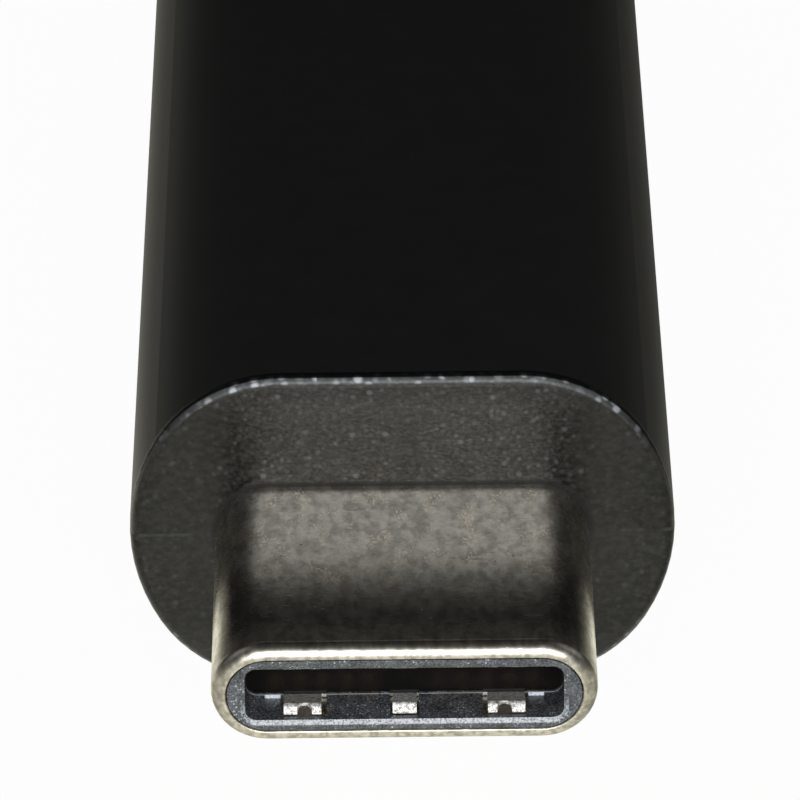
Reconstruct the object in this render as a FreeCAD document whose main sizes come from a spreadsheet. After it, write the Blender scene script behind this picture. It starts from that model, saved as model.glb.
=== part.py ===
import FreeCAD, Part
import math
import os
from types import SimpleNamespace

import Sketcher

# Plug end of a reversible data and power cord, as it comes apart on a bench.
# The mouth faces -Y, the cord leaves towards +Y and +Z is up. The origin is the centre of the mouth's
# front plane, from which the interface is measured. Lengths are in millimetres.

SIZES = {
    # Drawn metal shell
    "shell_width": 8.25,
    "shell_height": 2.40,
    "shell_wall": 0.32,
    "shell_reach": 6.65,  # from the mouth to the housing's front face
    "shell_buried": 2.75,  # held inside the housing
    "shell_lip": 0.29,  # outer rounding of the mouth
    "lip_land": 0.01,  # flat left between that rounding and the inner chamfer
    "window_edge": 0.225,  # from the end of the flat wall to a retention window
    "window_width": 1.00,
    "window_length": 0.80,
    "window_inset": 1.00,  # from the windows to the shell's rear end
    "notch_height": 0.25,  # open notches in the shell's rear ends for the ground ears
    "notch_length": 0.80,
    # Insulators inside the shell
    "fit": 0.02,  # running fit between an insert and the metal round it
    "insulator_recess": 0.01,
    "insulator_joint": 4.60,  # where the front insulator meets the two rear ones
    "insulator_inset": 0.40,  # from the rear insulators to the shell's rear end
    "slot_side": 0.385,  # wall beside the slot
    "slot_floor": 0.22,  # wall above and below the slot
    "slot_corner": 0.25,
    "chamfer_depth": 0.05,  # steep lead-in round the slot
    "chamfer_rise": 0.11,
    "throat_end": 1.15,  # the smooth throat stops and the contact chamber starts
    "chamber_skin": 0.08,  # wall between the chamber and a ground spring
    "comb_start": 2.35,
    "comb_gap": 0.90,  # left between the combs for the receptacle's tongue
    "comb_clearance": 0.055,  # from a contact to the rib beside it
    "boss_rise": 0.20,
    # Contacts
    "row_margin": 0.65,  # from the slot's side to the middle of the first contact
    "contact_width": 0.25,
    "contact_sheet": 0.15,
    "contact_tip": 2.15,
    "contact_crest": 2.70,
    "crest_reach": 0.22,  # half length of the rounded crest
    "crest_gap": 0.54,  # free gap between the upper and lower crests
    "tip_lift": 0.13,
    "tail_length": 1.00,
    # Middle plate with the two side latches
    "plate_sheet": 0.15,
    "latch_gap": 0.52,  # between the plate and a latch arm
    "latch_arm": 0.28,
    "latch_front": 1.95,
    "latch_root": 1.60,  # from the plate's front edge to where the arms join it
    "hook_reach": 0.40,
    "hook_length": 0.55,
    "hook_ramp": 0.20,
    # Ground springs
    "spring_sheet": 0.08,
    "spring_margin": 0.125,  # from the spring's side to the end of the flat wall
    "spring_front": 0.34,
    "spring_length": 2.90,
    "finger_inset": 0.22,  # from the spring's side to a side finger
    "side_finger": 0.80,
    "middle_finger": 0.51,
    "finger_crest": 0.42,  # where a finger stands highest
    "finger_curl": 0.16,  # radius of the tip's bend
    "finger_root": 1.30,
    "finger_rise": 0.203,  # above the throat's floor
    "finger_notch": 0.16,
    "notch_shift": 0.045,  # from a side finger's middle to its notch
    "finger_clearance": 0.055,
    "recess_width": 0.34,  # shallow marks in the floor and the ceiling, beside the outer fingers
    "recess_length": 0.65,
    "recess_front": 0.41,
    "recess_depth": 0.08,
    # Paddle card and what is soldered to it
    "card_thickness": 0.80,
    "nose_clearance": 0.525,  # from the card's narrow front to the shell's inner side
    "card_side": 0.30,  # from the card to the shield
    "card_gap": 0.05,
    "card_length": 13.60,
    "card_corner": 0.30,
    "copper": 0.04,
    "pad_width": 0.32,
    "pad_margin": 0.12,
    "wire_margin": 0.475,  # from the card's side to the first wire pad
    "wire_pad_width": 0.75,
    "wire_pad_length": 2.00,
    "chip_side": 2.50,
    "chip_height": 0.60,
    "chip_place": 5.15,  # from the card's front edge to the chip's middle
    "chip_dot": 0.18,
    "passive_length": 1.00,
    "passive_width": 0.50,
    "passive_height": 0.35,
    "terminal_length": 0.25,
    "terminal_proud": 0.02,
    "passive_inset": 1.20,  # from the card's side
    "passive_row": 4.55,  # from the card's front edge
    "passive_step": 1.30,
    # Shield halves round the card
    "shield_side": 0.675,  # from the metal shell's side to the shield's
    "shield_step": 0.30,  # from the cord's jacket to the shield's top
    "shield_corner": 1.50,
    "shield_sheet": 0.20,
    "shield_room": 0.55,  # behind the card
    "collar_length": 2.40,
    "jacket": 4.40,  # outside diameter of the cord that the outlet takes
    "mould_gap": 0.83,  # from the solder tails to the inner mould
    # Moulded housing
    "housing_width": 12.05,
    "housing_height": 7.86,
    "housing_length": 28.50,
    "housing_corner": 3.20,  # radius between the round sides and the flat top
    "housing_front": 0.75,  # wall in front of the shield
    "housing_edge": 0.22,
    "housing_tail": 1.20,
    "outlet_edge": 0.30,
}

# Each row has twelve places, numbered from opposite sides. The lower row leaves out its middle two.
places = 12
middle_place = (places + 1) / 2
UPPER_ROW = {f"contact_a{number}": middle_place - number for number in range(1, places + 1)}
LOWER_ROW = {f"contact_b{number}": number - middle_place for number in range(1, places + 1)}
del LOWER_ROW["contact_b6"], LOWER_ROW["contact_b7"]

# The cord's wires, each with a pad on both faces of the card.
WIRES = ("drain_left", "return", "supply", "channel", "data_plus", "data_minus", "drain_right")

doc = FreeCAD.newDocument("plug")
sheet = doc.addObject("Spreadsheet::Sheet", "Sizes")
for row, (name, value) in enumerate(SIZES.items(), 1):
    sheet.set(f"A{row}", name)
    sheet.set(f"B{row}", str(value))
    sheet.setAlias(f"B{row}", name)
doc.recompute()


class Length:
    """A size: its value in millimetres and the text that binds a feature to the sheet."""

    def __init__(self, value, text):
        self.value = value
        self.text = text

    def __add__(self, other):
        other = as_length(other)
        return Length(self.value + other.value, f"({self.text} + {other.text})")

    def __sub__(self, other):
        other = as_length(other)
        return Length(self.value - other.value, f"({self.text} - {other.text})")

    def __mul__(self, factor):
        return Length(self.value * factor, f"({self.text} * {factor})")

    def __truediv__(self, divisor):
        return Length(self.value / divisor, f"({self.text} / {divisor})")

    def __neg__(self):
        return Length(-self.value, f"(0 - {self.text})")


def as_length(number):
    """A plain number, such as a zero, as a Length."""
    return number if isinstance(number, Length) else Length(float(number), str(float(number)))


ZERO = as_length(0)
mm = SimpleNamespace(**{name: Length(float(sheet.get(name)), "Sizes." + name) for name in SIZES})

shell_end = mm.shell_reach + mm.shell_buried
shell_flat = (mm.shell_width - mm.shell_height) / 2
bore_width = mm.shell_width - mm.shell_wall * 2
bore_height = mm.shell_height - mm.shell_wall * 2
window_centre = shell_flat - mm.window_edge - mm.window_width / 2
window_front = shell_end - mm.window_inset - mm.window_length

insert_width = bore_width - mm.fit * 2
insert_height = bore_height - mm.fit * 2
insulator_end = shell_end - mm.insulator_inset
slot_width = insert_width - mm.slot_side * 2
slot_height = insert_height - mm.slot_floor * 2
chamber_height = insert_height - (mm.spring_sheet + mm.chamber_skin) * 2
pitch = (slot_width - mm.row_margin * 2) / (places - 1)
rib_width = pitch - mm.contact_width - mm.comb_clearance * 2
spring_half = shell_flat - mm.spring_margin
finger_centre = spring_half - mm.finger_inset - mm.side_finger / 2

# A finger's tip turns back into its window at 20 degrees to the upright.
steep = math.radians(20)
finger_top = slot_height / 2 - mm.finger_rise
tip_level = slot_height / 2 - mm.fit
bend_y = mm.finger_crest - mm.finger_curl * math.cos(steep)
bend_z = finger_top + mm.finger_curl * (1 - math.sin(steep))
finger_tip = bend_y - (tip_level - bend_z) * math.tan(steep)

tail_level = mm.card_thickness / 2 + mm.copper
card_front = insulator_end + mm.card_gap
card_back = card_front + mm.card_length
tail_end = card_front + mm.pad_margin + mm.tail_length

shield_width = mm.shell_width + mm.shield_side * 2
shield_height = mm.jacket + mm.shield_step * 2
shield_front = mm.shell_reach + mm.housing_front
shield_back = card_back + mm.shield_room + mm.shield_sheet
card_width = shield_width - (mm.shield_sheet + mm.card_side) * 2
mould_front = tail_end + mm.mould_gap
collar_end = shield_back + mm.collar_length
housing_end = mm.shell_reach + mm.housing_length

HALF_TURN = FreeCAD.Placement(FreeCAD.Vector(0, 0, 0), FreeCAD.Rotation(FreeCAD.Vector(0, 1, 0), 180))


# Drawing and feature helpers

def new_body(label):
    """An empty body that becomes one piece of the plug."""
    body = doc.addObject("PartDesign::Body", label)
    body.Label = label
    return body


def sketch_on(body, role, offset):
    """A sketch on one of the body's own planes, moved along that plane's normal."""
    plane = next(item for item in body.Origin.OriginFeatures if item.Role == role)
    sketch = body.newObject("Sketcher::SketchObject", body.Name + "_sketch")
    sketch.AttachmentSupport = [(plane, "")]
    sketch.MapMode = "FlatFace"
    sketch.setExpression("AttachmentOffset.Base.z", as_length(offset).text)
    return sketch


def across(body, y):
    """A sketch in X and Z, at a distance y behind the mouth. The plane's normal points to -Y."""
    return sketch_on(body, "XZ_Plane", -as_length(y))


def level(body, z):
    """A sketch in X and Y at the height z."""
    return sketch_on(body, "XY_Plane", z)


def upright(body, x):
    """A sketch in Y and Z at the width x."""
    return sketch_on(body, "YZ_Plane", x)


def draw_piece(start, end, corner):
    """The line or arc that leaves a corner, and whether it was drawn from end to start."""
    if len(corner) == 2:
        return Part.LineSegment(start, end), False
    centre = FreeCAD.Vector(corner[2].value, corner[3].value, 0)
    hollow = len(corner) == 5
    first, last = (end, start) if hollow else (start, end)
    circle = Part.Circle(centre, FreeCAD.Vector(0, 0, 1), (first - centre).Length)
    return Part.ArcOfCircle(circle, circle.parameter(first), circle.parameter(last)), hollow


def outline(sketch, corners):
    """A closed outline, drawn anticlockwise and fully bound to the sheet. A corner is (x, y) where a
    straight side leaves it, (x, y, centre x, centre y) where a bulging arc does, and has "hollow" as
    a fifth entry where the arc bends inwards."""
    count = len(corners)
    corners = [tuple(item if item == "hollow" else as_length(item) for item in corner) for corner in corners]
    spots = [FreeCAD.Vector(corner[0].value, corner[1].value, 0) for corner in corners]
    drawn = [draw_piece(spots[i], spots[(i + 1) % count], corners[i]) for i in range(count)]
    first = sketch.addGeometry([piece for piece, _ in drawn], False)[0]
    joins = []
    bindings = []
    for i, (piece, flipped) in enumerate(drawn):
        after = (i + 1) % count
        starts, ends = (2, 1) if flipped else (1, 2)
        next_starts = 2 if drawn[after][1] else 1
        joins.append(Sketcher.Constraint("Coincident", first + i, ends, first + after, next_starts))
        bindings.append(("DistanceX", first + i, starts, corners[i][0]))
        bindings.append(("DistanceY", first + i, starts, corners[i][1]))
        if isinstance(piece, Part.ArcOfCircle):
            flat_chord = abs(spots[i].y - spots[after].y) < 1e-9
            kind, centre = ("DistanceY", corners[i][3]) if flat_chord else ("DistanceX", corners[i][2])
            bindings.append((kind, first + i, 3, centre))
    sketch.addConstraint(joins)
    for kind, piece, point, distance in bindings:
        index = sketch.addConstraint(Sketcher.Constraint(kind, -1, 1, piece, point, distance.value))
        sketch.setExpression(f"Constraints[{index}]", distance.text)
    return sketch


def box(sketch, left, right, low, high):
    """A plain rectangle."""
    return outline(sketch, [(left, low), (right, low), (right, high), (left, high)])


def round_box(sketch, width, height, radius):
    """A rectangle about the axis with four rounded corners."""
    x = width / 2
    y = height / 2
    near_x = x - radius
    near_y = y - radius
    return outline(
        sketch,
        [
            (-near_x, -y),
            (near_x, -y, near_x, -near_y),
            (x, -near_y),
            (x, near_y, near_x, near_y),
            (near_x, y),
            (-near_x, y, -near_x, near_y),
            (-x, near_y),
            (-x, -near_y, -near_x, -near_y),
        ],
    )


def stadium(sketch, width, height):
    """A flat shape with full-radius ends, as the mouth and the housing have."""
    flat = (width - height) / 2
    y = height / 2
    return outline(sketch, [(-flat, -y), (flat, -y, flat, ZERO), (flat, y), (-flat, y, -flat, ZERO)])


def half_stadium(sketch, width, height):
    """The upper half of a stadium."""
    flat = (width - height) / 2
    x = width / 2
    y = height / 2
    return outline(sketch, [(x, ZERO, flat, ZERO), (flat, y), (-flat, y, -flat, ZERO), (-x, ZERO)])


def full_oval(sketch, width, height, corner):
    """A stadium with fuller shoulders: round sides, and smaller arcs that lead from them to the flats.
    The two arcs meet 30 degrees above the middle, so their radii add up to the height."""
    side = height - corner
    across_join = math.cos(math.radians(30))
    middle = width / 2 - side
    join_x = middle + side * across_join
    join_y = side / 2
    flat = middle + (side - corner) * across_join
    y = height / 2
    return outline(
        sketch,
        [
            (-flat, -y),
            (flat, -y, flat, corner - y),
            (join_x, -join_y, middle, ZERO),
            (join_x, join_y, flat, y - corner),
            (flat, y),
            (-flat, y, -flat, y - corner),
            (-join_x, join_y, -middle, ZERO),
            (-join_x, -join_y, -flat, corner - y),
        ],
    )


def disc(sketch, diameter):
    """A full circle about the axis."""
    index = sketch.addGeometry(Part.Circle(FreeCAD.Vector(0, 0, 0), FreeCAD.Vector(0, 0, 1), diameter.value / 2))
    sketch.addConstraint(Sketcher.Constraint("Coincident", index, 3, -1, 1))
    size = sketch.addConstraint(Sketcher.Constraint("Diameter", index, diameter.value))
    sketch.setExpression(f"Constraints[{size}]", diameter.text)
    return sketch


def feature(kind, sketch, depth):
    """A pad or pocket of the sketch that runs towards +X, +Y or +Z by its depth."""
    body = sketch.getParentGeoFeatureGroup()
    made = body.newObject("PartDesign::" + kind, f"{body.Name}_{kind}")
    made.Profile = sketch
    made.setExpression("Length", depth.text)
    faces_back = sketch.AttachmentSupport[0][0].Role == "XZ_Plane"
    made.Reversed = faces_back if kind == "Pad" else not faces_back
    return made


def grow(sketch, depth):
    """Adds material over the sketch."""
    return feature("Pad", sketch, depth)


def sink(sketch, depth):
    """Cuts material under the sketch."""
    return feature("Pocket", sketch, depth)


def repeat(original, step, copies):
    """Copies of a feature along +X, a step apart."""
    body = original.getParentGeoFeatureGroup()
    axis = next(item for item in body.Origin.OriginFeatures if item.Role == "X_Axis")
    row = body.newObject("PartDesign::LinearPattern", body.Name + "_row")
    row.Originals = [original]
    row.Direction = (axis, [""])
    row.Occurrences = copies
    row.setExpression("Length", (step * (copies - 1)).text)
    body.Tip = row
    return row


def soften(kind, base, radius, chosen):
    """A fillet or chamfer on the edges of the base feature that the test chooses."""
    doc.recompute()
    body = base.getParentGeoFeatureGroup()
    names = [f"Edge{i}" for i, edge in enumerate(base.Shape.Edges, 1) if chosen(edge.BoundBox)]
    made = body.newObject("PartDesign::" + kind, f"{body.Name}_{kind}")
    made.Base = (base, names)
    made.setExpression("Radius" if kind == "Fillet" else "Size", radius.text)
    return made


def on_plane(y):
    """Chooses the edges that lie in the plane at y."""
    return lambda bounds: abs(bounds.YMin - y.value) < 1e-6 and abs(bounds.YMax - y.value) < 1e-6


def within(y, width, height):
    """Chooses the edges in the plane at y that stay inside a width and a height."""
    x = width.value / 2
    z = height.value / 2
    inside = lambda bounds: -x < bounds.XMin and bounds.XMax < x and -z < bounds.ZMin and bounds.ZMax < z
    return lambda bounds: on_plane(y)(bounds) and inside(bounds)


# Drawn shell: a seamless stadium tube with a rolled mouth

def plug_shell():
    body = new_body("plug_shell")
    grow(stadium(across(body, ZERO), mm.shell_width, mm.shell_height), shell_end)
    tube = sink(stadium(across(body, ZERO), bore_width, bore_height), shell_end)

    # retention windows for the rear insulators, through the top and the bottom wall
    windows = level(body, -mm.shell_height / 2)
    reach = mm.window_width / 2
    for side in (-1, 1):
        middle = window_centre * side
        box(windows, middle - reach, middle + reach, window_front, window_front + mm.window_length)
    tube = sink(windows, mm.shell_height)

    # notches at the rear of both sides, where the ground ears come out
    notch = upright(body, -mm.shell_width / 2)
    box(notch, shell_end - mm.notch_length, shell_end, -mm.notch_height / 2, mm.notch_height / 2)
    tube = sink(notch, mm.shell_width)

    inner = within(ZERO, bore_width + mm.fit, bore_height + mm.fit)
    rolled = soften("Fillet", tube, mm.shell_lip, lambda bounds: on_plane(ZERO)(bounds) and not inner(bounds))
    soften("Chamfer", rolled, mm.shell_wall - mm.shell_lip - mm.lip_land, inner)
    return body


# Front insulator: throat, contact chamber with its combs, and seats for the springs and latches

def front_insulator():
    body = new_body("front_insulator")
    length = mm.insulator_joint - mm.insulator_recess
    grow(stadium(across(body, mm.insulator_recess), insert_width, insert_height), length)
    throat = sink(round_box(across(body, mm.insulator_recess), slot_width, slot_height, mm.slot_corner), length)
    mouth = within(mm.insulator_recess, slot_width + mm.fit, slot_height + mm.fit)
    lead_in = soften("Chamfer", throat, mm.chamfer_rise, mouth)
    lead_in.ChamferType = "Two distances"
    lead_in.setExpression("Size2", mm.chamfer_depth.text)
    chamber = round_box(across(body, mm.throat_end), slot_width, chamber_height, mm.slot_corner)
    sink(chamber, mm.insulator_joint - mm.throat_end)

    # combs that keep the contacts apart, above and below the tongue's gap
    comb = across(body, mm.comb_start)
    first = -pitch * (places / 2 - 1)
    left = first - rib_width / 2
    right = first + rib_width / 2
    box(comb, left, right, mm.comb_gap / 2, chamber_height / 2)
    box(comb, left, right, -chamber_height / 2, -mm.comb_gap / 2)
    repeat(grow(comb, mm.insulator_joint - mm.comb_start), pitch, places - 1)

    # shallow seats on the outside for the two ground springs
    x = spring_half + mm.fit
    z = insert_height / 2
    seat = across(body, mm.spring_front - mm.fit)
    box(seat, -x, x, z - mm.spring_sheet, z + mm.fit)
    box(seat, -x, x, -z - mm.fit, -z + mm.spring_sheet)
    sink(seat, mm.insulator_joint - mm.spring_front + mm.fit)

    # windows for the spring fingers, through floor and ceiling
    windows = level(body, -insert_height / 2)
    finger_windows(windows)
    sink(windows, insert_height)

    # shallow marks beside the outer fingers, in floor and ceiling
    z = slot_height / 2 + mm.recess_depth
    marks = level(body, -z)
    near = finger_centre + mm.side_finger / 2 + mm.finger_clearance + mm.fit
    far = near + mm.recess_width
    for left, right in ((-far, -near), (near, far)):
        box(marks, left, right, mm.recess_front, mm.recess_front + mm.recess_length)
    sink(marks, z * 2)

    # side slits for the latch arms
    z = mm.plate_sheet / 2 + mm.fit
    slit = upright(body, -insert_width / 2)
    box(slit, mm.latch_front - mm.fit, mm.insulator_joint, -z, z)
    sink(slit, insert_width)
    return body


# Ground springs: one thin stamping each, with three fingers that bend into the mouth

def finger_places():
    """Middle and width of each finger, from left to right."""
    return [(-finger_centre, mm.side_finger), (ZERO, mm.middle_finger), (finger_centre, mm.side_finger)]


def finger_windows(sketch):
    """An opening round each finger, from ahead of its tip to its root. The outer two are wider on the
    side towards the middle."""
    front = finger_tip - mm.finger_clearance
    reach = mm.middle_finger / 2 + mm.finger_clearance
    near = finger_centre - mm.side_finger / 2 - mm.finger_clearance * 2
    far = finger_centre + mm.side_finger / 2 + mm.fit
    for left, right in ((-far, -near), (-reach, reach), (near, far)):
        box(sketch, left, right, front, mm.finger_root)


def ground_spring(label):
    body = new_body(label)
    outer = insert_height / 2
    inner = outer - mm.spring_sheet
    end = mm.spring_front + mm.spring_length
    grow(box(level(body, inner), -spring_half, spring_half, mm.spring_front, end), mm.spring_sheet)

    # cut-outs that free the fingers
    gaps = level(body, inner)
    finger_windows(gaps)
    sink(gaps, mm.spring_sheet)

    # each finger slopes from its root up to its crest, and its tip curls back into the window
    metal = mm.spring_sheet
    crest = mm.finger_crest
    centre = finger_top + mm.finger_curl
    inner_curl = mm.finger_curl - metal
    back_y = crest - inner_curl * math.cos(steep)
    back_z = centre - inner_curl * math.sin(steep)
    for middle, finger in finger_places():
        side = upright(body, middle - finger / 2)
        outline(
            side,
            [
                (finger_tip, tip_level),
                (bend_y, bend_z, crest, centre),
                (crest, finger_top),
                (mm.finger_root, inner),
                (mm.finger_root, outer),
                (mm.finger_root - metal / 5, outer),
                (crest, finger_top + metal, crest, centre, "hollow"),
                (back_y, back_z),
                (finger_tip + metal * math.cos(steep), tip_level + metal * math.sin(steep)),
            ],
        )
        grow(side, finger)

    # half-round notches in the tips of the two side fingers
    notch = level(body, finger_top)
    front = finger_tip - mm.finger_clearance
    base = finger_tip + mm.fit
    for side in (-1, 1):
        middle = (finger_centre - mm.notch_shift) * side
        left = middle - mm.finger_notch
        right = middle + mm.finger_notch
        outline(notch, [(left, front), (right, front), (right, base, middle, base), (left, base)])
    sink(notch, mm.finger_rise + metal)
    return body


# Middle plate: a flat stamping with two latch arms and two ground ears

def middle_plate():
    body = new_body("latch_plate")
    arm = slot_width / 2 + mm.fit
    x = arm - mm.latch_gap
    outside = arm + mm.latch_arm
    hook = arm - mm.hook_reach
    front = mm.insulator_joint
    root = front + mm.latch_root
    hook_end = mm.latch_front + mm.hook_length
    ear = mm.shell_width / 2
    ear_front = shell_end - mm.notch_length + mm.fit
    ear_back = insulator_end
    right = [
        (x, front),
        (x, root),
        (arm, root),
        (arm, hook_end),
        (hook, hook_end - mm.hook_ramp / 2),
        (hook, mm.latch_front + mm.hook_ramp),
        (arm, mm.latch_front),
        (outside, mm.latch_front),
        (outside, ear_front),
        (ear, ear_front),
        (ear, ear_back),
    ]
    left = [(-x, y) for x, y in reversed(right)]
    outline(level(body, -mm.plate_sheet / 2), right + left)
    grow(body.Group[-1], mm.plate_sheet)
    return body


# Rear insulators: each is moulded round one row of contacts and rests on the middle plate

def rear_insulator(label, columns):
    body = new_body(label)
    length = insulator_end - mm.insulator_joint
    base = mm.plate_sheet / 2
    grow(half_stadium(across(body, mm.insulator_joint), insert_width, insert_height), length)
    sink(box(across(body, mm.insulator_joint), -insert_width / 2, insert_width / 2, ZERO, base), length)

    # passages that the contacts run through
    passages = across(body, mm.insulator_joint)
    reach = mm.contact_width / 2
    for column in columns:
        middle = pitch * column
        box(passages, middle - reach, middle + reach, tail_level, tail_level + mm.contact_sheet)
    sink(passages, length)

    # bosses that snap into the shell's windows
    bosses = level(body, insert_height / 2 - mm.fit)
    reach = mm.window_width / 2 - mm.fit
    back = window_front + mm.window_length - mm.fit
    for side in (-1, 1):
        middle = window_centre * side
        box(bosses, middle - reach, middle + reach, window_front + mm.fit, back)
    grow(bosses, mm.boss_rise)
    return body


# Contacts: a straight run through the insulator, a sprung beam in front and a solder tail behind

def contact(label, column):
    body = new_body(label)
    sheet_metal = mm.contact_sheet
    crest = mm.crest_gap / 2
    shoulder = crest + mm.tip_lift / 3
    front = mm.contact_crest - mm.crest_reach
    back = mm.contact_crest + mm.crest_reach
    # the crest's arc passes through both shoulders, about a centre this far above them
    bend = shoulder + mm.crest_reach * 1.2
    side = upright(body, pitch * column - mm.contact_width / 2)
    outline(
        side,
        [
            (mm.contact_tip, crest + mm.tip_lift),
            (front, shoulder, mm.contact_crest, bend),
            (back, shoulder),
            (mm.insulator_joint, tail_level),
            (tail_end, tail_level),
            (tail_end, tail_level + sheet_metal),
            (mm.insulator_joint, tail_level + sheet_metal),
            (back, shoulder + sheet_metal, mm.contact_crest, bend + sheet_metal, "hollow"),
            (front, shoulder + sheet_metal),
            (mm.contact_tip, crest + mm.tip_lift + sheet_metal),
        ],
    )
    grow(side, mm.contact_width)
    return body


# Paddle card: a small circuit board with solder pads for the contacts and for the cord's wires

def paddle_card():
    body = new_body("paddle_card")
    nose = bore_width / 2 - mm.nose_clearance
    x = card_width / 2
    shoulder = shell_end + mm.card_gap
    r = mm.card_corner
    outline(
        level(body, -mm.card_thickness / 2),
        [
            (-nose, card_front),
            (nose, card_front),
            (nose, shoulder),
            (x, shoulder),
            (x, card_back - r, x - r, card_back - r),
            (x - r, card_back),
            (-x + r, card_back, -x + r, card_back - r),
            (-x, card_back - r),
            (-x, shoulder),
            (-nose, shoulder),
        ],
    )
    grow(body.Group[-1], mm.card_thickness)

    wires = len(WIRES)
    wire_pitch = (card_width - mm.wire_margin * 2 - mm.wire_pad_width) / (wires - 1)
    pads = [
        (mm.pad_width, card_front, mm.tail_length + mm.pad_margin * 2, pitch, places),
        (mm.wire_pad_width, card_back - mm.wire_pad_length, mm.wire_pad_length, wire_pitch, wires),
    ]
    z = mm.card_thickness / 2
    for width, front, length, step, copies in pads:
        copper = across(body, front)
        first = -step * ((copies - 1) / 2)
        box(copper, first - width / 2, first + width / 2, z, z + mm.copper)
        box(copper, first - width / 2, first + width / 2, -z - mm.copper, -z)
        repeat(grow(copper, length), step, copies)
    return body


def marker_chip():
    body = new_body("marker_chip")
    half = mm.chip_side / 2
    base = mm.card_thickness / 2
    place = card_front + mm.chip_place
    grow(box(level(body, base), -half, half, place - half, place + half), mm.chip_height)

    # the dot that marks the first terminal
    dot = level(body, base + mm.chip_height - mm.copper)
    reach = mm.chip_dot / 2
    middle_x = -half + mm.chip_dot * 2
    middle_y = place - half + mm.chip_dot * 2
    box(dot, middle_x - reach, middle_x + reach, middle_y - reach, middle_y + reach)
    sink(dot, mm.copper)
    return body


def passive(label, side, row):
    """A small ceramic part with a metal terminal at each end, lying across the card."""
    body = new_body(label)
    half = mm.passive_length / 2
    middle = (card_width / 2 - mm.passive_inset - half) * side
    y = card_front + mm.passive_row + mm.passive_step * row
    base = mm.card_thickness / 2
    width = mm.passive_width / 2
    slim = width - mm.terminal_proud
    cap = half - mm.terminal_length
    lift = base + mm.terminal_proud
    tall = mm.passive_height - mm.terminal_proud * 2
    grow(box(level(body, lift), middle - cap, middle + cap, y - slim, y + slim), tall)
    ends = level(body, base)
    box(ends, middle - half, middle - cap, y - width, y + width)
    box(ends, middle + cap, middle + half, y - width, y + width)
    grow(ends, mm.passive_height)
    return body


# Shield halves: two drawn trays that close over the card and grip the shell and the cord's jacket

def shield_half(label):
    body = new_body(label)
    length = shield_back - shield_front
    grow(shield_arch(across(body, shield_front), ZERO), length)
    inside = shield_arch(across(body, shield_front + mm.shield_sheet), mm.shield_sheet)
    sink(inside, length - mm.shield_sheet * 2)
    sink(half_stadium(across(body, shield_front), mm.shell_width, mm.shell_height), mm.shield_sheet)

    outer = mm.jacket / 2 + mm.shield_sheet
    inner = mm.jacket / 2
    collar = across(body, shield_back)
    outline(collar, [(inner, ZERO), (outer, ZERO, ZERO, ZERO), (-outer, ZERO), (-inner, ZERO, ZERO, ZERO, "hollow")])
    grow(collar, mm.collar_length)
    door = across(body, shield_back - mm.shield_sheet)
    outline(door, [(-inner, ZERO), (inner, ZERO, ZERO, ZERO)])
    sink(door, mm.shield_sheet)
    return body


def shield_arch(sketch, inset):
    """The shield's upper half section, moved inwards by the inset."""
    x = shield_width / 2 - inset
    z = shield_height / 2 - inset
    r = mm.shield_corner - inset
    near_x = x - r
    near_z = z - r
    corners = [(-x, ZERO), (x, ZERO), (x, near_z, near_x, near_z), (near_x, z)]
    corners += [(-near_x, z, -near_x, near_z), (-x, near_z)]
    return outline(sketch, corners)


# Inner mould: fills the shield round the card and its parts, and holds the cord's wires on the real plug

def inner_mould(held):
    block = new_body("inner_mould_block")
    inset = mm.shield_sheet * 2
    section = across(block, mould_front)
    round_box(section, shield_width - inset, shield_height - inset, mm.shield_corner - mm.shield_sheet)
    grow(section, shield_back - mm.shield_sheet - mould_front)
    cores = doc.addObject("Part::MultiFuse", "inner_mould_cores")
    cores.Shapes = held
    mould = doc.addObject("Part::Cut", "inner_mould")
    mould.Base = block
    mould.Tool = cores
    mould.Label = "inner_mould"
    return mould


# Housing: one moulding round the shield and the shell's root, with an outlet for the cord

def housing():
    body = new_body("housing")
    section = full_oval(across(body, mm.shell_reach), mm.housing_width, mm.housing_height, mm.housing_corner)
    solid = grow(section, mm.housing_length)
    front = soften("Fillet", solid, mm.housing_edge, on_plane(mm.shell_reach))
    soften("Fillet", front, mm.housing_tail, on_plane(housing_end))
    shell_hole = stadium(across(body, mm.shell_reach), mm.shell_width, mm.shell_height)
    sink(shell_hole, mm.housing_front)
    cavity = round_box(across(body, shield_front), shield_width, shield_height, mm.shield_corner)
    sink(cavity, shield_back - shield_front)
    sink(disc(across(body, shield_back), mm.jacket + mm.shield_sheet * 2), mm.collar_length)
    outlet = sink(disc(across(body, collar_end), mm.jacket), housing_end - collar_end)
    soften("Chamfer", outlet, mm.outlet_edge, within(housing_end, mm.jacket + mm.fit, mm.jacket + mm.fit))
    return body


plug_shell()
front_insulator()
ground_spring("upper_ground_spring")
ground_spring("lower_ground_spring").Placement = HALF_TURN
middle_plate()
rear_insulator("upper_insulator", UPPER_ROW.values())
rear_insulator("lower_insulator", [-column for column in LOWER_ROW.values()]).Placement = HALF_TURN
for name, column in UPPER_ROW.items():
    contact(name, column)
for name, column in LOWER_ROW.items():
    contact(name, -column).Placement = HALF_TURN
soldered = [paddle_card(), marker_chip()]
for row, kind in enumerate(("capacitor", "resistor")):
    for side, hand in ((-1, "left"), (1, "right")):
        soldered.append(passive(f"{kind}_{hand}", side, row))
shield_half("upper_shield")
shield_half("lower_shield").Placement = HALF_TURN
inner_mould(soldered)
housing()
doc.recompute()

pieces = {item.Label: item for item in doc.Objects if item.TypeId == "PartDesign::Body"}
del pieces["inner_mould_block"]
pieces["inner_mould"] = doc.getObject("inner_mould")

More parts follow.
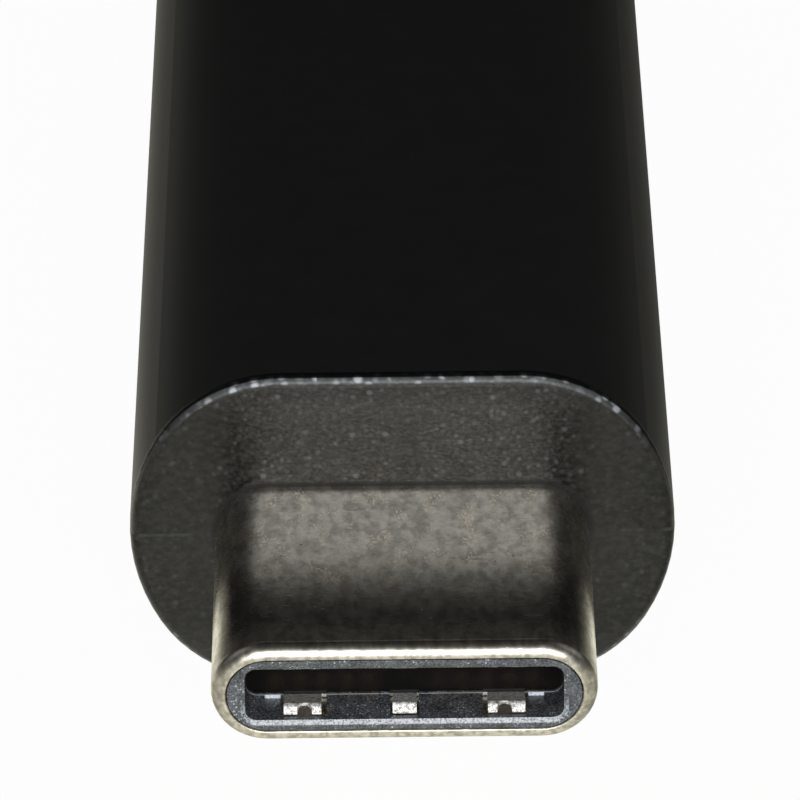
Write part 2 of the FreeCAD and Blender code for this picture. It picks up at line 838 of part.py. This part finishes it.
for item in doc.Objects:
    if "Invalid" in item.State or "Error" in item.State:
        raise RuntimeError(f"{item.Label} did not recompute")
for item in doc.Objects:
    if item.TypeId in ("PartDesign::Pocket", "PartDesign::Fillet", "PartDesign::Chamfer"):
        if item.Shape.Volume >= item.BaseFeature.Shape.Volume:
            raise RuntimeError(f"{item.Label} removes nothing")
for name, item in pieces.items():
    if item.Shape.isNull() or not item.Shape.isValid() or len(item.Shape.Solids) != 1:
        raise RuntimeError(f"{name} is not one valid solid")

os.makedirs("parts", exist_ok=True)
for name, item in pieces.items():
    item.Shape.exportStep(f"parts/{name}.step")
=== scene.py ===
import math

import bpy
from mathutils import Matrix, Vector


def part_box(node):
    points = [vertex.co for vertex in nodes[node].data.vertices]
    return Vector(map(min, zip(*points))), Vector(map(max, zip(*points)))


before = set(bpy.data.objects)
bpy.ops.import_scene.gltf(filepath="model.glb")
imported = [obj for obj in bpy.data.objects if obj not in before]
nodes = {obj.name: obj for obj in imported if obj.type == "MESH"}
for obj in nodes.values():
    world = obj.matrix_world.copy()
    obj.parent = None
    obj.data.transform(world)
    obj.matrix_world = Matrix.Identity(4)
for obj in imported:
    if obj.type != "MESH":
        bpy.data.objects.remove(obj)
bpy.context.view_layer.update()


# Drawn shell. A seamless steel tube, deep drawn to a flat shape with full round ends, rolled at its
# mouth and plated with satin nickel. The rear third is held inside the housing.

MM = 1000  # millimetres in a metre: the frame is in metres, and all materials work in millimetres


class Socket:
    """A value, colour or vector on its way through a material's nodes."""

    def __init__(self, tree, socket):
        self.tree = tree
        self.socket = socket

    def node(self, kind, values, **settings):
        """Any node: its type, what its sockets hold and its settings, which are set first."""
        made = self.tree.nodes.new("ShaderNode" + kind)
        for name, setting in settings.items():
            setattr(made, name, setting)
        for name, value in values.items():
            if isinstance(value, Socket):
                self.tree.links.new(value.socket, made.inputs[name])
            else:
                made.inputs[name].default_value = value
        return Socket(self.tree, made.outputs[0])

    def out(self, name):
        """Another output of the same node, by its name or number."""
        return Socket(self.tree, self.socket.node.outputs[name])

    def math(self, operation, *values):
        """One step of arithmetic on the values given, of which this one need not be one."""
        return self.node("Math", dict(enumerate(values)), operation=operation)

    def __add__(self, other):
        return self.math("ADD", self, other)

    __radd__ = __add__

    def __sub__(self, other):
        return self.math("SUBTRACT", self, other)

    def __rsub__(self, other):
        return self.math("SUBTRACT", other, self)

    def __mul__(self, other):
        return self.math("MULTIPLY", self, other)

    __rmul__ = __mul__

    def __truediv__(self, other):
        return self.math("DIVIDE", self, other)

    def __rtruediv__(self, other):
        return self.math("DIVIDE", other, self)

    def __abs__(self):
        return self.math("ABSOLUTE", self)

    def root(self):
        return self.math("SQRT", self)

    def at_least(self, least):
        """The value, or the least one where the value is below it."""
        return self.math("MAXIMUM", self, least)

    def rise(self, low, high):
        """Goes smoothly from 0 to 1 as the value goes from low to high."""
        ends = {"Value": self, "From Min": low, "From Max": high}
        return self.node("MapRange", ends, interpolation_type="SMOOTHSTEP")

    def paint(self, under, over):
        """The under colour where the value is 0, the over colour where it is 1."""
        # The mix node has several sockets of one name, so its factor and colours go by number.
        return self.node("Mix", {0: self, 6: under, 7: over}, data_type="RGBA").out(2)

    def scaled(self, *factors):
        """A vector with each of its parts multiplied."""
        return self.node("VectorMath", {0: self, 1: factors}, operation="MULTIPLY")

    def grain(self, scale, detail=2.0, roughness=0.5):
        """Cloudy noise from 0 to 1, with this many patches to a millimetre."""
        values = {"Vector": self, "Scale": scale, "Detail": detail, "Roughness": roughness}
        return self.node("TexNoise", values)

    def cells(self, scale):
        """Distance from the middle of the nearest of many small cells."""
        return self.node("TexVoronoi", {"Vector": self, "Scale": scale})

    def dots(self, scale, size, share):
        """Soft dots on 0 in this share of the cells, each with a height of its own up to 1."""
        cell = self.cells(scale)
        chance = cell.node("SeparateColor", {"Color": cell.out("Color")})
        flat_middle = size * 0.3
        return (1 - cell.rise(flat_middle, size)) * chance.rise(1 - share, 1)


class Finish:
    """A material, its surface shader and the place of each point in millimetres."""

    def __init__(self, name, **constants):
        self.material = bpy.data.materials.new(name)
        self.material.use_nodes = True
        self.tree = self.material.node_tree
        self.shader = self.tree.nodes["Principled BSDF"]
        for socket, value in constants.items():
            self.shader.inputs[socket.replace("_", " ")].default_value = value
        coordinates = self.tree.nodes.new("ShaderNodeTexCoord").outputs["Object"]
        self.place = Socket(self.tree, coordinates).scaled(MM, MM, MM)
        axes = self.place.node("SeparateXYZ", {"Vector": self.place})
        self.x, self.y, self.z = axes.out("X"), axes.out("Y"), axes.out("Z")

    def from_oval(self, flat):
        """Distance in millimetres from the line between the middles of a flat shape's round ends."""
        outside = (abs(self.x) - flat).at_least(0)
        return (outside * outside + self.z * self.z).root()

    def __setitem__(self, socket, value):
        """Lets a value drive one of the shader's sockets."""
        self.tree.links.new(value.socket, self.shader.inputs[socket])

    def relief(self, height, depth):
        """Shades the surface as if it stood up by the height times a depth in millimetres."""
        values = {"Height": height, "Distance": depth / MM, "Strength": 1.0}
        self["Normal"] = height.node("Bump", values)

    def cover(self, *names):
        """Puts the material on the pieces with these names."""
        for name in names:
            nodes[name].material_slots[0].material = self.material


shell_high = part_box("plug_shell")[1]
shell_wall = 0.32
shell_radius = shell_high.z * MM  # of its round ends
shell_flat = shell_high.x * MM - shell_radius  # half the width between their middles
bore_radius = shell_radius - shell_wall
lip_depth = 0.3
edge_width = 0.07
# Where the painted reflection of the housing's face starts and where it is full, in millimetres from
# the mouth.
reflection_start, reflection_full = 1.8, 3.0
plated = Finish("plated_shell", Metallic=1.0)
cloud = plated.place.grain(1.3, 3)
peel = plated.place.grain(8, 3)
sand = plated.place.grain(34, 2)
drawn = plated.place.scaled(1, 0.05, 1).grain(22, 2)
rubbed = plated.place.scaled(0.05, 1, 1).grain(26, 0)
scratch = rubbed.rise(0.74, 0.84) + drawn.rise(0.74, 0.84)
pits = plated.place.dots(5, 0.16, 0.3)
# Painted reflection: warm specks near the root, in the plating's colour, stand in for the housing's
# grainy face mirrored in the shell.
reflection_patch = plated.place.scaled(1, 0.5, 1).grain(2.4, 2, 0.6).rise(0.50, 0.62)
reflection_fleck = plated.place.scaled(1, 0.6, 1).grain(20, 1).rise(0.50, 0.66)
painted_face_reflection = reflection_fleck * reflection_patch * plated.y.rise(reflection_start, reflection_full)
in_lip = 1 - plated.y.rise(lip_depth - 0.05, lip_depth)
inner_edge = plated.from_oval(shell_flat).rise(bore_radius, bore_radius + edge_width) * in_lip
# The blotches in the plating's colour are a painted reflection of the housing's mottled face. The finer
# peel is the plating's own tone.
painted_reflection_mottle = plated.place.scaled(1, 0.5, 1).grain(4.0, 2, 0.55)
tone_and_reflection_mottle = painted_reflection_mottle.rise(0.36, 0.64) * 0.6 + peel.rise(0.3, 0.7) * 0.4
silver = (tone_and_reflection_mottle - pits * 0.4).paint((0.40, 0.38, 0.325, 1), (0.77, 0.74, 0.65, 1))
# The colour below carries the painted reflection of the housing's face.
plated["Base Color"] = painted_face_reflection.paint(silver, (1.0, 0.86, 0.70, 1))
satin = 1 - plated.y.rise(lip_depth, lip_depth + 1)
plated["Roughness"] = 0.19 + satin * 0.13 + cloud * 0.08 + scratch * 0.08 + pits * 0.2
texture = peel * 0.5 + sand * 0.5 + scratch * 0.10 - pits * 0.8
plated.relief(texture + inner_edge * 9, 0.0022)
plated.cover("plug_shell")


# Front insulator. Injection moulded in a dark glass-filled plastic, with the slot and its chamfered
# mouth. It is pushed into the shell from behind, and its skin shows the flow of the moulding.

throat_end = 1.15  # behind it lies the dark chamber of the contacts
recess_end = 1.06  # the recesses in the slot's floor and roof stop here
lead_in_start, lead_in_end = 0.016, 0.065
lining = Finish("insulator_front", IOR=1.6)
flow = lining.place.scaled(1, 0.6, 1).grain(2.6, 4, 0.6)
fleck = lining.place.grain(20, 3, 0.75)
skin_tone = (flow * 0.3 + fleck * 0.7).rise(0.36, 0.64)
skin_and_highlights = skin_tone.paint((0.012, 0.015, 0.020, 1), (0.140, 0.153, 0.170, 1))
# Painted glints: sparse bluish-white specks in the colour stand in for the sparkle of the glossy grain.
painted_glints = lining.place.dots(19, 0.55, 0.45) * flow.rise(0.42, 0.62)
skin_and_highlights = painted_glints.paint(skin_and_highlights, (0.66, 0.70, 0.76, 1))
past_rim = lining.y.rise(lead_in_start - 0.004, lead_in_start + 0.004)
past_bevel = lining.y.rise(lead_in_end - 0.005, lead_in_end + 0.005)
# Painted highlight: the lower half of the chamfered lead-in is coloured bright, where the key lamp's
# light falls on it.
painted_bevel_highlight = past_rim * (1 - past_bevel) * (1 - lining.z.rise(-0.5, 0))
skin_and_highlights = (painted_bevel_highlight * fleck.rise(0.35, 0.60) * 0.8).paint(skin_and_highlights, (0.52, 0.56, 0.62, 1))
# Painted highlight: the far wall of the recesses, which faces the lamp, is coloured bright.
painted_wall_highlight = 1 - abs(lining.y - recess_end).rise(0.012, 0.02)
skin_and_highlights = (painted_wall_highlight * fleck.rise(0.28, 0.46)).paint(skin_and_highlights, (0.66, 0.71, 0.78, 1))
# Painted shade: the chamber behind the throat is coloured near black, as if no light reached it.
deep = lining.y.rise(throat_end - 0.02, throat_end + 0.02)
painted_chamber_shade = flow.rise(0.45, 0.65).paint((0.003, 0.003, 0.003, 1), (0.008, 0.0075, 0.007, 1))
lining["Base Color"] = deep.paint(skin_and_highlights, painted_chamber_shade)
lining["Roughness"] = 0.16 + fleck * 0.2 + deep * 0.4
lining.relief(flow * 0.2 + fleck * 0.8, 0.014)
lining.cover("front_insulator")


# Ground springs. Two stampings of thin stainless strip, above and below the slot, whose bent fingers
# press on the receptacle. The tilts in their shading are a guess, set by the fingers' brightness.

tip_end = 0.56
middle_tilt, side_tilt = 14, 6  # rise in a millimetre, in steps of the relief's depth
strip = Finish("spring_steel")
worked = strip.place.grain(15, 3, 0.75)
brushed = strip.place.scaled(1, 0.2, 1).grain(30, 2)
strip["Base Color"] = worked.rise(0.38, 0.56).paint((0.30, 0.29, 0.27, 1), (0.92, 0.92, 0.91, 1))
strip["Metallic"] = 0.65 - strip.y.rise(tip_end - 0.06, tip_end + 0.06) * 0.5
strip["Roughness"] = 0.44 + brushed * 0.15
beside_middle = abs(strip.x).rise(0.5, 0.8)
tipped = strip.y * (middle_tilt - beside_middle * (middle_tilt - side_tilt))
strip.relief(worked * 0.8 + brushed * 0.3 + tipped, 0.028)
strip.cover("upper_ground_spring", "lower_ground_spring")


# Middle plate. A flat stainless stamping with a latch arm on each side, whose hooks catch the
# receptacle's tongue, and two ears that touch the shell. It lies between the two rear insulators.

latch = Finish("latch_steel", Metallic=1.0)
rolled = latch.place.scaled(1, 0.04, 1).grain(18, 3)
latch["Base Color"] = rolled.paint((0.50, 0.49, 0.46, 1), (0.72, 0.71, 0.68, 1))
latch["Roughness"] = 0.25 + rolled * 0.2
latch.relief(rolled, 0.001)
latch.cover("latch_plate")


# Rear insulators. Each is moulded round its row of contacts in black heat-proof plastic, rests on the
# middle plate, and snaps into the shell's windows with two bosses.

carrier = Finish("insulator_rear", IOR=1.55)
swirl = carrier.place.grain(1.8, 4, 0.6)
carrier["Base Color"] = swirl.rise(0.35, 0.7).paint((0.010, 0.010, 0.011, 1), (0.028, 0.028, 0.030, 1))
carrier["Roughness"] = 0.4 + swirl * 0.25
carrier.relief(carrier.place.grain(14, 2), 0.003)
carrier.cover("upper_insulator", "lower_insulator")


# Contacts. Stamped copper alloy, plated with nickel all over and with gold where the beam touches the
# receptacle. The tails keep the dull nickel and a little tin from soldering.

insulator_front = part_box("upper_insulator")[0].y * MM
insulator_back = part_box("upper_insulator")[1].y * MM
gold_end = insulator_front - 0.6
plating = Finish("contact_gold", Metallic=1.0)
drag = plating.place.scaled(1, 0.08, 1).grain(25, 2)
gilded = 1 - plating.y.rise(gold_end - 0.3, gold_end)
tinned = plating.y.rise(insulator_back, insulator_back + 0.1)
nickel = drag.paint((0.45, 0.42, 0.36, 1), (0.62, 0.59, 0.52, 1))
gold = drag.paint((0.50, 0.33, 0.13, 1), (0.72, 0.51, 0.23, 1))
plating["Base Color"] = tinned.paint(gilded.paint(nickel, gold), (0.62, 0.62, 0.60, 1))
plating["Roughness"] = 0.2 + drag * 0.15 + tinned * 0.15
plating.relief(drag, 0.0008)
plating.cover(*[name for name in nodes if name.startswith("contact_")])


# Paddle card. Glass-epoxy board under green lacquer, with gold-plated copper pads for the contacts in
# front and for the cord's wires behind. Its cut edges show the bare laminate.

copper_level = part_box("marker_chip")[0].z * MM
card = Finish("card_laminate")
weave = card.place.scaled(1, 1, 0).grain(9, 2)
layers = card.place.scaled(0.2, 0.2, 1).grain(16, 2)
normal = card.place.node("NewGeometry", {}).out("Normal")
upward = abs(normal.node("SeparateXYZ", {"Vector": normal}).out("Z"))
pad = abs(card.z).rise(copper_level + 0.005, copper_level + 0.015)
lacquer = weave.paint((0.008, 0.050, 0.022, 1), (0.016, 0.085, 0.038, 1))
edge = layers.rise(0.35, 0.65).paint((0.22, 0.19, 0.09, 1), (0.36, 0.32, 0.18, 1))
faces = upward.rise(0.4, 0.6).paint(edge, lacquer)
pad_gold = weave.paint((0.70, 0.48, 0.20, 1), (0.86, 0.64, 0.32, 1))
card["Base Color"] = pad.paint(faces, pad_gold)
card["Metallic"] = pad
card["Roughness"] = 0.3 + weave * 0.15
card.relief(weave, 0.004)
card.cover("paddle_card")


# Marker chip. A black moulded package on the card, with the matt skin that the mould's blasted surface
# leaves and a dot at its first terminal.

resin = Finish("chip_resin")
matt = resin.place.grain(20, 3)
resin["Base Color"] = matt.paint((0.012, 0.012, 0.013, 1), (0.035, 0.035, 0.037, 1))
resin["Roughness"] = 0.5 + matt * 0.2
resin.relief(matt, 0.004)
resin.cover("marker_chip")


# Capacitors and resistors. Small ceramic blocks with a tinned cap at each end, soldered down by both
# caps. The capacitors are brown ceramic, and the resistors are glazed in black.

cap_length = 0.25
bodies = {
    "capacitor": ((0.30, 0.18, 0.09, 1), (0.45, 0.27, 0.135, 1)),
    "resistor": ((0.02, 0.02, 0.024, 1), (0.03, 0.03, 0.036, 1)),
}
for kind, (dark, light) in bodies.items():
    for hand in ("left", "right"):
        name = kind + "_" + hand
        low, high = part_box(name)
        centre = (low.x + high.x) / 2 * MM
        cap_start = (high.x - low.x) / 2 * MM - cap_length
        ceramic = Finish(name)
        fired = ceramic.place.grain(12, 3)
        cap = abs(ceramic.x - centre).rise(cap_start - 0.01, cap_start + 0.01)
        tin = fired.paint((0.55, 0.55, 0.54, 1), (0.72, 0.72, 0.70, 1))
        ceramic["Base Color"] = cap.paint(fired.paint(dark, light), tin)
        ceramic["Metallic"] = cap
        ceramic["Roughness"] = 0.3 + fired * 0.2
        ceramic.relief(fired, 0.003)
        ceramic.cover(name)


# Shield halves. Two drawn trays of tinned steel, which close over the card and grip the shell's rear
# end and the cord's jacket. The tin keeps faint draw lines along its length.

tinplate = Finish("shield_tinplate", Metallic=1.0)
draw_lines = tinplate.place.scaled(1, 0.04, 1).grain(12, 3)
spangle = tinplate.place.cells(1.6)
bright = draw_lines * 0.6 + spangle * 0.4
tinplate["Base Color"] = bright.paint((0.48, 0.48, 0.47, 1), (0.74, 0.74, 0.72, 1))
tinplate["Roughness"] = 0.28 + draw_lines * 0.2
tinplate.relief(draw_lines, 0.002)
tinplate.cover("upper_shield", "lower_shield")


# Inner mould. The first shot of the moulding, in undyed polyethylene, which fills the shield round the
# card. It has a waxy, slightly uneven skin.

wax = Finish("mould_natural", Subsurface_Weight=0.2, Subsurface_Scale=0.0005)
bloom = wax.place.grain(0.9, 4)
wax["Base Color"] = bloom.rise(0.3, 0.7).paint((0.60, 0.59, 0.52, 1), (0.76, 0.75, 0.69, 1))
wax["Roughness"] = 0.4 + bloom * 0.2
wax.relief(wax.place.grain(5, 3), 0.01)
wax.cover("inner_mould")


# Housing. The outer shot, in black plastic. Its front face has the grain of a spark-eroded mould, with
# painted glints, painted highlight beads along its rounded edge and a painted shadow round the shell.
# The long sides are smooth, and the mould's parting line runs round at mid height.

low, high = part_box("housing")
front = low.y * MM
edge_end = 0.3  # from the front face to where its rounded edge ends
black = Finish("housing_moulding", IOR=1.5)
textured = 1 - black.y.rise(front + 0.10, front + edge_end)  # the front face and its rounded edge
rim = (black.y - front).rise(0.005, 0.03) * textured * abs(black.z).rise(2.0, 3.6)
middle = 1 - abs(black.x).rise(3.2, 4.4)
crater = black.place.scaled(1, 1, 1.5).grain(5, 3, 0.6)
blasted = black.place.grain(13, 2)
patch = black.place.grain(1.2, 3)
ripple = black.place.grain(10, 2)
parting_line = (1 - abs(black.z).rise(0.015, 0.06)) * black.place.grain(1.6, 2).rise(0.42, 0.60)
glint = black.place.dots(3.0, 0.28, 0.7) + black.place.dots(5.0, 0.36, 1.0) * 0.6
painted_middle_mottle = black.place.scaled(1, 1, 1.4).grain(9, 1).rise(0.44, 0.66) * middle * textured
painted_blurred_glints = black.place.dots(6.5, 0.55, 1.0) * (middle * 0.7 + 0.2) * textured
painted_rim_beads = black.place.dots(4.4, 0.60, 1.0) * rim
# Painted shadow: a near-black line on the face round the shell, as if a gap between them were shaded.
from_shell = black.from_oval(shell_flat) - shell_radius
painted_gap_shade = (1 - from_shell.rise(0.05, 0.20)) * textured
smooth = patch.paint((0.0110, 0.0110, 0.0112, 1), (0.0150, 0.0150, 0.0150, 1))
grainy = crater.rise(0.36, 0.66).paint((0.0030, 0.0032, 0.0032, 1), (0.0150, 0.0145, 0.0132, 1))
colour = textured.paint(smooth, grainy)
colour = (parting_line * 0.5).paint(colour, (0.05, 0.05, 0.047, 1))
# Painted light: mottled patches and blurred glints in the colour, brightest in the middle of the face.
colour = (painted_middle_mottle * 0.6).paint(colour, (0.038, 0.036, 0.032, 1))
colour = (painted_blurred_glints * 0.8).paint(colour, (0.046, 0.045, 0.042, 1))
# Painted glints: soft bright dots over the face, stronger in its middle.
colour = (glint * textured * (middle * 0.6 + 0.25)).paint(colour, (0.100, 0.105, 0.110, 1))
# Painted highlight: a faint band and bright beads along the top and bottom of the rounded edge.
colour = (rim * 0.10 + painted_rim_beads).paint(colour, (0.45, 0.48, 0.52, 1))
black["Base Color"] = (painted_gap_shade * 0.9).paint(colour, (0.001, 0.001, 0.001, 1))
worn = black.z.rise(2.9, 3.6) * textured
black["Roughness"] = 0.48 - textured * 0.22 + textured * crater * 0.06 + painted_gap_shade * 0.3 + worn * 0.2
grains = (crater * 0.06 + blasted * 0.18) * (textured + rim * 2)
# The face is shaded as a little hollow. That is a guess, set by how bright the photographed face is.
hollow_tilt = 6.4  # rise in a millimetre, in steps of the relief's depth
hollow = abs(black.z) * textured * hollow_tilt
black.relief(grains + hollow + ripple * 0.03 + parting_line * 0.3 * textured, 0.016)
black.cover("housing")


# Lamps. One soft key lamp stands in front of the mouth and a little above it, and two weak ones at the
# sides lift the shadows.

aim = Vector((0, 0.004, 0))


def lamp(name, azimuth, elevation, distance, width, height, level):
    """A soft lamp aimed at the plug. A white card that faces it renders at the level."""
    data = bpy.data.lights.new(name, "AREA")
    data.shape = "RECTANGLE"
    data.size = width
    data.size_y = height
    data.energy = level * (math.pi * distance) ** 2
    lamp_object = bpy.data.objects.new(name, data)
    bpy.context.scene.collection.objects.link(lamp_object)
    spin = Matrix.Rotation(math.radians(azimuth), 4, "Z")
    tilt = Matrix.Rotation(math.radians(90 - elevation), 4, "X")
    reach = Matrix.Translation((0, 0, distance))
    lamp_object.matrix_world = Matrix.Translation(aim) @ spin @ tilt @ reach


lamp("key", azimuth=0, elevation=22, distance=0.5, width=0.28, height=0.20, level=1.0)
lamp("left_fill", azimuth=-100, elevation=40, distance=0.5, width=0.30, height=0.30, level=0.04)
lamp("right_fill", azimuth=100, elevation=40, distance=0.5, width=0.30, height=0.30, level=0.04)


# Floor. A wide pale table under the housing's flat side, which the camera sees white. In reflections it
# isn't plain: they show a painted glow, set until the sides of the housing and the shell were
# as bright as in the photograph. The glow lights nothing else.

floor_gap = 0.01 / MM  # keeps the floor out of the plane of the housing's underside
side = high.x * MM
bpy.ops.mesh.primitive_plane_add(size=8, location=(0, 0, low.z - floor_gap))
floor = bpy.context.object
floor.name = "floor"
pale = Finish("floor_paint", Roughness=0.8)
cloudy = pale.place.scaled(0.02, 0.02, 0.02).grain(1, 2)
pale["Base Color"] = cloudy.paint((0.84, 0.82, 0.72, 1), (0.88, 0.86, 0.76, 1))
seen = pale.place.node("LightPath", {})
mirrored = seen.out("Is Glossy Ray").at_least(seen.out("Is Transmission Ray"))
ahead = (1 - pale.y.rise(-1, 7)) * (0.9 - abs(pale.x).rise(3.5, 7) * 0.35)
from_side = (abs(pale.x) - side).at_least(0)
beside = 1.0 / (from_side + 0.8)
near = 1 - pale.y.rise(4, 24)
right_loss = pale.x.rise(-6, 6) * 0.55
around = beside * (2.3 + near * 1.2) + near * 0.8 + 0.06
lit = around * (1 - right_loss) * pale.y.rise(2, 9) + ahead
table = lit.paint((0, 0, 0, 1), (1, 0.98, 0.84, 1))
white_share = 0.97
direct = mirrored.at_least(seen * white_share)
glow = pale.tree.nodes.new("ShaderNodeEmission")
pale.tree.links.new(seen.paint(table, (1, 1, 1, 1)).socket, glow.inputs["Color"])
blend = pale.tree.nodes.new("ShaderNodeMixShader")
pale.tree.links.new(direct.socket, blend.inputs[0])
pale.tree.links.new(pale.shader.outputs[0], blend.inputs[1])
pale.tree.links.new(glow.outputs[0], blend.inputs[2])
pale.tree.links.new(blend.outputs[0], pale.tree.nodes["Material Output"].inputs[0])
pale.material.cycles.emission_sampling = "NONE"
floor.data.materials.append(pale.material)


# Camera and room. A pinhole camera, fitted to the shell's outline in the photograph, looks down at the
# mouth from the front. The room behind it is all but dark.

heading, dip, lean = -0.08, 30.21, -0.58  # degrees
eye = (-0.000209, -0.126079, 0.080668)
scene = bpy.context.scene
lens = bpy.data.cameras.new("camera")
lens.sensor_width = 36
lens.lens = 316.4
lens.clip_start = 0.01
camera = bpy.data.objects.new("camera", lens)
scene.collection.objects.link(camera)
spin = Matrix.Rotation(math.radians(heading), 4, "Z")
tilt = Matrix.Rotation(math.radians(90 - dip), 4, "X")
roll = Matrix.Rotation(math.radians(lean), 4, "Z")
camera.matrix_world = Matrix.Translation(eye) @ spin @ tilt @ roll
scene.camera = camera

scene.view_settings.view_transform = "Standard"
scene.world = bpy.data.worlds.new("studio")
scene.world.use_nodes = True
room = scene.world.node_tree.nodes["Background"]
room.inputs["Color"].default_value = (0.008, 0.008, 0.008, 1)
